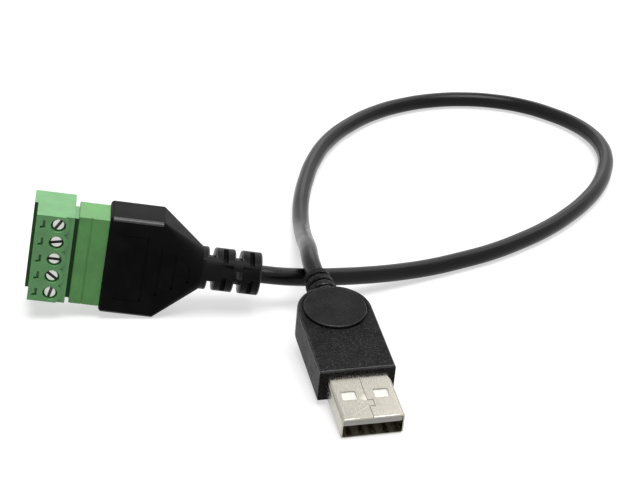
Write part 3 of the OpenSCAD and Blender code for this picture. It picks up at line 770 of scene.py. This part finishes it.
def add_pocket():
    """What one way takes out of the plug, at the middle of the row."""
    def box(name, x, y, z):
        return add_block(name, *zip(x, y, z))

    cage_y, cage_z = (HEAD_UNDER + 0.4, CAGE_END + 0.1), (-CAGE_ROOM, CAGE_ROOM)
    contact, pin = (-SOCKET_HALF, SOCKET_HALF), (-PIN_WAY, PIN_WAY)
    wire_x, wire_z = (PLUG_LEFT - 2, POCKET[0] + 0.1), (-WIRE_HALF, WIRE_HALF)
    probe_y, foot_x = (FACE_Y - 1, FACE_Y + 1), (PROBE_X - PROBE_SLIT, PROBE_X + 0.1)
    room = box("pocket", POCKET, cage_y, cage_z)
    head_depth = HEAD_UNDER + 1.05 - FACE_Y
    parts = [
        add_rod("head hole", (SCREW_X, FACE_Y - 1, 0), HEAD_HOLE_R, head_depth, "Y"),
        add_rod("shank hole", (SCREW_X, FACE_Y, 0), SHANK_HOLE_R, CAGE_TOP - FACE_Y, "Y"),
        box("wire entry", wire_x, (THROAT, CAGE_FLOOR), wire_z),
        box("strip room", (POCKET[1] - 0.1, SOCKET_X + 0.1), (STRIP_Y - 0.05, THROAT + 0.05), contact),
        box("leaf room", (SOCKET_X, SOCKET_END), (LEAF_Y, THROAT + 0.05), contact),
        box("pin way", (SOCKET_END - 0.1, NOSE_END + 1), pin, pin),
        box("probe upright", (PROBE_X, PROBE_X + PROBE_SLIT), probe_y, (-PROBE_HALF, PROBE_HALF)),
        box("probe foot", foot_x, probe_y, (-PROBE_HALF, PROBE_SLIT - PROBE_HALF)),
    ]
    return cut(room, *parts, operation="UNION")


def copy_along(piece, z, name):
    twin = piece.copy()
    twin.data = piece.data.copy()
    twin.name = twin.data.name = name
    bpy.context.scene.collection.objects.link(twin)
    twin.data.transform(Matrix.Translation((0, 0, z * MM)))
    return twin


def add_plug():
    n, t, k = PLUG_HALF, NOSE_HALF_T, NOSE_HALF_N
    plug = add_block("terminal_plug_body", (PLUG_LEFT, FACE_Y, -n), (PLUG_RIGHT, PLUG_BACK, n))
    ledge = add_block("ledge", (PLUG_LEFT - LEDGE, FACE_Y + 5.5, -n), (PLUG_LEFT + 1, PLUG_BACK, n))
    nose = add_block("nose", (PLUG_RIGHT - 1, -t, -k), (NOSE_END, t, k))
    cut(plug, ledge, nose, operation="UNION")
    step = add_block("step", (STEP_X, FACE_Y - 1, -FAR), (PLUG_RIGHT + 1, FACE_Y + STEP_DEPTH, FAR))
    for way in range(1, WAYS + 1):
        cut(step, add_rod("land", (SCREW_X, FACE_Y - 2, way_z(way)), LAND_R, 4, "Y"))
    cut(plug, step)
    pocket = add_pocket()
    for way in range(1, WAYS + 1):
        cut(plug, copy_along(pocket, way_z(way), "pocket way"))
    bpy.data.objects.remove(pocket)
    return plug


def in_the_gap(place, normal):
    """The faces that look into the gap before the header, and the ledge's front: painted shade."""
    in_gap = PLUG_RIGHT - 0.01 < place.x < PLUG_RIGHT + MATE_GAP - 0.01
    faces_it = normal.x > 0.9 or abs(normal.y) > 0.9
    return (in_gap and faces_it) or (place.x < PLUG_LEFT - 0.01 and normal.y < -0.9)


def split_at(piece, x):
    only(piece)
    bpy.ops.object.mode_set(mode="EDIT")
    bpy.ops.mesh.select_all(action="SELECT")
    bpy.ops.mesh.bisect(plane_co=(x * MM, 0, 0), plane_no=(1, 0, 0))
    done()


plug = add_plug()
split_at(plug, PLUG_RIGHT + MATE_GAP)
# The gap's faces and the ledge's front take the green painted as shade.
mark_faces(plug, in_the_gap)
finish_piece(plug, TERMINAL_END, green_plug, green_painted_shade, bevel=0.07)
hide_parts("terminal_plug")
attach(plug, "plug_block")
print("terminal plug", len(plug.data.polygons), "faces")

# %% [markdown]
# ## Clamp screws
# Each screw is an M2 cheese-head: a short drum with a rounded upper edge and one wide slot, on a
# threaded shank. The thread is a small tooth carried round and up by the Screw modifier. One screw
# is modelled and copied, and each copy's slot stands where its last turn left it. The slot's faces
# take a zinc painted dark as shade.

# %% Clamp screws
SLOT_ANGLES = [78, -35, 0, 12, 60]
THREAD_PITCH, THREAD_R, THREAD_DEPTH, THREAD_TURNS = 0.4, 0.93, 0.21, 7
HEAD_R, HEAD_ROUND, SHANK_R, SHANK_END = 1.25, 0.22, 0.78, 0.55
DRIVER_HALF_W, DRIVER_DEPTH = 0.3, 0.6


def add_thread():
    """A blunt tooth carried round the shank, one pitch a turn."""
    deselect()
    r, root, p = THREAD_R, THREAD_R - THREAD_DEPTH, THREAD_PITCH
    mesh = bpy.data.meshes.new("thread")
    rows = [(root, -0.48 * p), (r, -0.08 * p), (r, 0.08 * p), (root, 0.48 * p)]
    mesh.from_pydata([(x * MM, 0, z * MM) for x, z in rows], [(0, 1), (1, 2), (2, 3)], [])
    thread = bpy.data.objects.new("thread", mesh)
    bpy.context.scene.collection.objects.link(thread)
    apply_modifier(
        thread, "SCREW", "turns", axis="Z", angle=2 * math.pi, screw_offset=p * MM,
        iterations=THREAD_TURNS, steps=24, render_steps=24, use_merge_vertices=False,
    )
    start = Matrix.Translation(Vector((0, HEAD_UNDER + 0.5, 0)) * MM)
    thread.data.transform(start @ Matrix.Rotation(-math.pi / 2, 4, "X"))
    return thread


def add_screw():
    head = add_rod("screw", (0, HEAD_TOP, 0), HEAD_R, HEAD_UNDER - HEAD_TOP, "Y")
    rim_y = HEAD_TOP + 0.01
    bevel_edges(head, lambda a, b: a.y < rim_y and b.y < rim_y, HEAD_ROUND, segments=4)
    shank_y = HEAD_UNDER - 0.1
    shank = add_rod("shank", (0, shank_y, 0), SHANK_R, SHANK_END - shank_y, "Y", sides=32)
    cut(head, shank, operation="UNION")
    w = DRIVER_HALF_W
    cut(head, add_block("slot", (-3, HEAD_TOP - 1, -w), (3, HEAD_TOP + DRIVER_DEPTH, w)))
    soften(head, 0.04, sharper_than=40)
    thread = add_thread()
    only(head)
    thread.select_set(True)
    bpy.ops.object.join()
    return head


def in_driver_slot(place, normal):
    deep = HEAD_TOP + 0.05 < place.y < HEAD_TOP + DRIVER_DEPTH + 0.05
    return deep and abs(place.z) < DRIVER_HALF_W + 0.01 and abs(place.x) < HEAD_R - 0.05


first_screw = add_screw()
# The slot's faces take the zinc painted dark as shade.
mark_faces(first_screw, in_driver_slot)
screws = []
for way, angle in enumerate(SLOT_ANGLES, 1):
    screw = copy_along(first_screw, 0, "screw_way_%d" % way)
    stand = Matrix.Translation(Vector((SCREW_X, 0, way_z(way))) * MM)
    screw.data.transform(stand @ Matrix.Rotation(math.radians(-angle), 4, "Y"))
    finish_piece(screw, TERMINAL_END, zinc, zinc_painted_shade)
    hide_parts("clamp_screw_%d" % way)
    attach(screw, "screw_%d" % way)
    screws.append(screw)
bpy.data.objects.remove(first_screw)
print(len(screws), "screws with", len(screws[0].data.polygons), "faces each")

# %% [markdown]
# ## Clamp cages
# Under each screw a bent steel cage hangs on the thread. Its top is thick enough for the thread and
# its throat takes the wire. One cage is modelled from a block with a throat and a hole, and copied.

# %% Clamp cages
CAGE_HALF_X, CAGE_HALF_Z, CAGE_ROOF, THROAT_HALF, CAGE_HOLE_R = 1.6, 1.45, 1, 1.0, 1.0


def add_cage():
    x, z, throat = CAGE_HALF_X, CAGE_HALF_Z, THROAT_HALF
    cage = add_block("cage", (-x, CAGE_TOP, -z), (x, CAGE_END, z))
    bevel_edges(cage, along("x"), 0.3)
    cut(cage, add_block("throat", (-5, CAGE_TOP + CAGE_ROOF, -throat), (5, CAGE_FLOOR, throat)))
    cut(cage, add_rod("hole", (0, CAGE_TOP - 1, 0), CAGE_HOLE_R, 2.5, "Y", sides=48))
    return cage


first_cage = add_cage()
for way in range(1, WAYS + 1):
    cage = copy_along(first_cage, way_z(way), "cage_way_%d" % way)
    cage.data.transform(Matrix.Translation((SCREW_X * MM, 0, 0)))
    finish_piece(cage, TERMINAL_END, zinc, bevel=0.05)
    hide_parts("clamp_cage_%d" % way)
    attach(cage, "cage_%d" % way)
bpy.data.objects.remove(first_cage)
print("five cages")

# %% [markdown]
# ## USB overmould
# The grip has straight sides, a round tail end and softened edges. On its upper face a round pad
# is raised inside a narrow moat. The outline is a stretched skin again, over a block and a drum;
# the edges then get a small bevel, so that they catch the light as one fine line. The bevel and the
# top rim take the paler edge PVC as painted highlight. Fingers rub the pad's top smoother than the
# rest.

# %% Grip with its pad
ROUND_Y = GRIP_LEN - GRIP_W / 2
PAD_R, PAD_H, PAD_ROUND, MOAT_W, MOAT_DEPTH, GRIP_EDGE = 6.2, 0.45, 0.22, 0.4, 0.35, 0.45


def add_grip():
    half = GRIP_W / 2

    def drum(name, z, radius, height):
        return add_rod(name, (0, ROUND_Y, z), radius, height, "Z", sides=128)

    block = add_block("usb_grip", (-half, 0, 0), (half, ROUND_Y, GRIP_T))
    grip = stretch_skin(block, drum("round end", 0, half, GRIP_T))
    bevel_edges(grip, across("z"), GRIP_EDGE, segments=4)
    moat = drum("moat", GRIP_T - MOAT_DEPTH, PAD_R + MOAT_W, 3)
    cut(moat, drum("island", 0, PAD_R, FAR))
    cut(grip, moat)
    pad = drum("pad", GRIP_T - 1, PAD_R, 1 + PAD_H)
    bevel_edges(pad, lambda a, b: a.z > GRIP_T and b.z > GRIP_T, PAD_ROUND, segments=4)
    return cut(grip, pad, operation="UNION")


grip = add_grip()
print("grip", len(grip.data.polygons), "faces")

# %% [markdown]
# ### Tail rings and the room for the shell
# Behind the round end four rings get narrower along the cable; between them only a thin core is
# left. The front face is cut out for the metal shell, and the inside for the fill.

# %% Tail rings and cuts
TAIL_RINGS = [(24.8, 6.6), (27.05, 6.2), (29.3, 5.8), (31.55, 5.4)]
RING_LEN, RING_ROUND, TAIL_CORE_R = 1.5, 0.2, 2.4
SHELL_R, ROOM_HALF_W, ROOM_HALF_H, ROOM_END = 0.6, 5.2, 2.5, 15.1


def round_bar(name, w, h, y0, y1, r):
    """A bar along Y with a rounded rectangle as its section, centred on the shell's axis."""
    bar = add_block(name, (-w / 2, y0, AXIS_Z - h / 2), (w / 2, y1, AXIS_Z + h / 2))
    bevel_edges(bar, along("y"), r, segments=5)
    return bar


def finish_grip(grip):
    core = add_rod("tail core", (0, ROUND_Y, AXIS_Z), TAIL_CORE_R, USB_EXIT - ROUND_Y, "Y")
    cut(grip, core, operation="UNION")
    for y, d in TAIL_RINGS:
        ring = add_rod("ring", (0, y, AXIS_Z), d / 2, RING_LEN, "Y", ROUND_SIDES)
        bevel_edges(ring, across("y"), RING_ROUND)
        cut(grip, ring, operation="UNION")
    cut(grip, round_bar("shell room", SHELL_W, SHELL_H, -1, SHELL_IN, SHELL_R))
    low = (-ROOM_HALF_W, SHELL_IN - 0.1, AXIS_Z - ROOM_HALF_H)
    cut(grip, add_block("fill room", low, (ROOM_HALF_W, ROOM_END, AXIS_Z + ROOM_HALF_H)))
    hole = add_rod("cable hole", (0, ROOM_END - 0.1, AXIS_Z), CABLE_D / 2, 40, "Y", sides=48)
    return cut(grip, hole)


def top_rim_painted_highlight(place, normal):
    return place.z > GRIP_T - 0.6 and 0.12 < normal.z < 0.97


def pad_top(place, normal):
    return place.z > GRIP_T + PAD_H - 0.05 and normal.z > 0.97


finish_grip(grip)
# The top rim and the bevel's faces take the paler edge PVC as painted highlight.
mark_faces(grip, top_rim_painted_highlight)
mark_faces(grip, pad_top, index=2)
finish_piece(grip, USB_END, pvc_grip, pvc_edge_painted_highlight, pvc_pad, bevel=0.08, edge=1)
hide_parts("usb_overmould")
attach(grip, "lead")
print("overmould", len(grip.data.polygons), "faces")

# %% [markdown]
# ## USB shell
# The shell is sheet folded into a tube, 12 by 4.5 mm. Its long seam runs along the top with one
# dovetail that locks it, and two windows let the socket's springs catch. The mouth is drawn in a
# little so that the plug finds its way.

# %% USB shell
WALL, WINDOW_W, WINDOW_LEN, WINDOW_X, WINDOW_Y = 0.3, 2.8, 2.5, 3.1, -5.7
SEAM, TAIL_Y, TAIL_SPREAD = 0.13, (-9.1, -7.4), 1.2
MOUTH_BACK, MOUTH_ROUND, WINDOW_R, HOLLOW_R = 0.02, 0.18, 0.4, 0.3


def add_seam_tool():
    """A hair-wide slot along the top with a dovetail's outline."""
    top = SHELL_Z + SHELL_H - WALL - 0.1
    gap, (y0, y1) = SEAM, TAIL_Y
    fore = add_block("seam", (-gap / 2, -FAR, top), (gap / 2, y0 + gap, top + 1))
    aft = add_block("seam aft", (-gap / 2, y1 - gap, top), (gap / 2, FAR, top + 1))
    outer = add_block("tail outer", (-gap / 2, y0, top), (1 + gap, y1, top + 1))
    inner = add_block("tail inner", (-gap, y0 + gap, top - 1), (1, y1 - gap, top + 2))
    middle = Vector((1, (y0 + y1) / 2, top)) * MM
    for tail in (outer, inner):
        pick(tail, "VERT", lambda p: p.x > 0.5)
        bpy.ops.transform.resize(value=(1, TAIL_SPREAD, 1), center_override=middle)
        done()
    return cut(cut(outer, inner), fore, aft, operation="UNION")


def add_shell():
    mouth_y = MOUTH_BACK - SHELL_OUT
    shell = round_bar("usb_metal_shell", SHELL_W, SHELL_H, mouth_y, SHELL_IN, SHELL_R)
    bevel_edges(shell, lambda a, b: max(a.y, b.y) < mouth_y + 0.03, MOUTH_ROUND)
    cut(shell, round_bar("hollow", SHELL_W - 2 * WALL, SHELL_H - 2 * WALL, -30, 30, HOLLOW_R))
    half_w, half_len = WINDOW_W / 2, WINDOW_LEN / 2
    for x in (-WINDOW_X, WINDOW_X):
        low = (x - half_w, WINDOW_Y - half_len, AXIS_Z)
        window = add_block("window", low, (x + half_w, WINDOW_Y + half_len, FAR))
        bevel_edges(window, along("z"), WINDOW_R, segments=4)
        cut(shell, window)
    return cut(shell, add_seam_tool())


shell = finish_piece(add_shell(), USB_END, nickel, bevel=0.03)
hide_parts("usb_shell")
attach(shell, "lead")
print("shell", len(shell.data.polygons), "faces")

# %% [markdown]
# ## White tongue
# Inside the shell a white tongue fills the upper half and carries the contacts on its underside.
# Behind it a base fills the whole section, so the mouth is dark below the tongue.

# %% White tongue
TONGUE_TOP, TONGUE_UNDER, TONGUE_BACK, BASE_Y = 5.5, 3.6, 0.4, -2
CONTACT_HALF_W, CONTACT_DEPTH = 0.5, 0.25
CONTACTS = {
    "vbus": (-3.5, 10.9), "data_minus": (-1, 9.9), "data_plus": (1, 9.9), "ground": (3.5, 10.9),
}


def add_tongue():
    half, under = SHELL_W / 2 - WALL - 0.05, TONGUE_UNDER
    runs_in = along("y")
    low, high = (-half, TONGUE_BACK - SHELL_OUT, under), (half, SHELL_IN, TONGUE_TOP)
    tongue = add_block("white_tongue", low, high)
    bevel_edges(
        tongue, lambda a, b: runs_in(a, b) and max(a.z, b.z) < under + 0.1, 0.6, segments=5,
    )
    bevel_edges(tongue, lambda a, b: runs_in(a, b) and min(a.z, b.z) > TONGUE_TOP - 0.1, 0.3)
    base = add_block("base", (-half, BASE_Y, SHELL_Z + 0.35), high)
    bevel_edges(base, runs_in, 0.3)
    cut(tongue, base, operation="UNION")
    for x, front in CONTACTS.values():
        low = (x - CONTACT_HALF_W, -front, under - 0.5)
        cut(tongue, add_block("slot", low, (x + CONTACT_HALF_W, FAR, under + CONTACT_DEPTH)))
    return tongue


tongue = finish_piece(add_tongue(), USB_END, ivory, bevel=0.08)
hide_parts("usb_insulator")
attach(tongue, "lead")
print("tongue", len(tongue.data.polygons), "faces")

# %% [markdown]
# ## Solids that keep their own shape
# Pins, contacts, fills and wires are plain forms whose solids are already right. They only get
# their finish.

# %% Finishes of the inner solids
def dress(name, material):
    node = nodes[name]
    node.data.materials.clear()
    node.data.materials.append(material)


for way in range(1, WAYS + 1):
    dress("header_pin_%d" % way, tin)
    dress("socket_contact_%d" % way, tin)
for name in CONTACTS:
    dress("usb_contact_" + name, gold)
for name, paint in wire_paint.items():
    dress("conductor_" + name, paint)
dress("conductor_shield", tin)
dress("adapter_inner_mould", compound)
dress("usb_inner_mould", compound)
print("inner solids dressed")

# %% [markdown]
# ## The cable joins the lead
# The cord leaves the terminal end's last segment and goes back into the object at the USB end.

# %% Cable on the lead
cable.data.materials.append(jacket)
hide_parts("cable")
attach(cable, "lead")

# %% [markdown]
# ## Table and light
# The lead lies on a white sheet that the camera sees as plain white, while shadows still fall on
# it. A large soft lamp above lights all tops and leaves the fronts deep. A weaker one from behind
# on the right and a low, faint one from straight behind draw the long highlights on black plastic.
# An even world fills in the rest. Each lamp is given by where it comes from, its strength and how
# wide it looks in degrees.

# %% White floor
FLOOR_SIZE, FLOOR_DROP = 6, 0.0002


def grey(value):
    return rgb(value, value, value)


def make_floor():
    deselect()
    bpy.ops.mesh.primitive_plane_add(size=FLOOR_SIZE, location=(0, 0, -FLOOR_DROP))
    floor = bpy.context.object
    floor.name = "floor"
    material = bpy.data.materials.new("white_sheet")
    material.use_nodes = True
    tree = material.node_tree
    shader = tree.nodes["Principled BSDF"]
    for name, value in (("Roughness", 0.9), ("Specular IOR Level", 0.0), ("Emission Strength", 1.0)):
        shader.inputs[name].default_value = value
    seen = seen_directly(tree)
    feed(shader, "Base Color", seen.blend(grey(0.3), grey(0.45)))
    feed(shader, "Emission Color", seen.blend(grey(0), grey(0.6)))
    floor.data.materials.append(material)
    return floor


floor = make_floor()
print("floor laid")

# %% Lamps and world
LAMPS = [
    ("large light above", (0.05, -0.2, 1.0), 2.9, 40),
    ("light behind right", (0.45, 0.45, 0.8), 0.55, 36),
    ("low light behind", (0.15, 1.0, 0.58), 0.18, 26),
]
WORLD_FILL = 0.18


def add_sun(name, from_point, strength, angle):
    data = bpy.data.lights.new(name, "SUN")
    data.energy = strength
    data.angle = math.radians(angle)
    lamp = bpy.data.objects.new(name, data)
    lamp.rotation_euler = (-Vector(from_point)).to_track_quat("-Z", "Y").to_euler()
    bpy.context.scene.collection.objects.link(lamp)


def light_scene():
    for lamp in LAMPS:
        add_sun(*lamp)
    world = bpy.data.worlds.new("studio")
    bpy.context.scene.world = world
    world.use_nodes = True
    tree = world.node_tree
    backdrop = tree.nodes["Background"]
    backdrop.inputs["Color"].default_value = grey(1)
    feed(backdrop, "Strength", seen_directly(tree).math("MAXIMUM", WORLD_FILL))
    bpy.context.scene.view_settings.view_transform = "Standard"


light_scene()
print(len(LAMPS), "lamps lit")
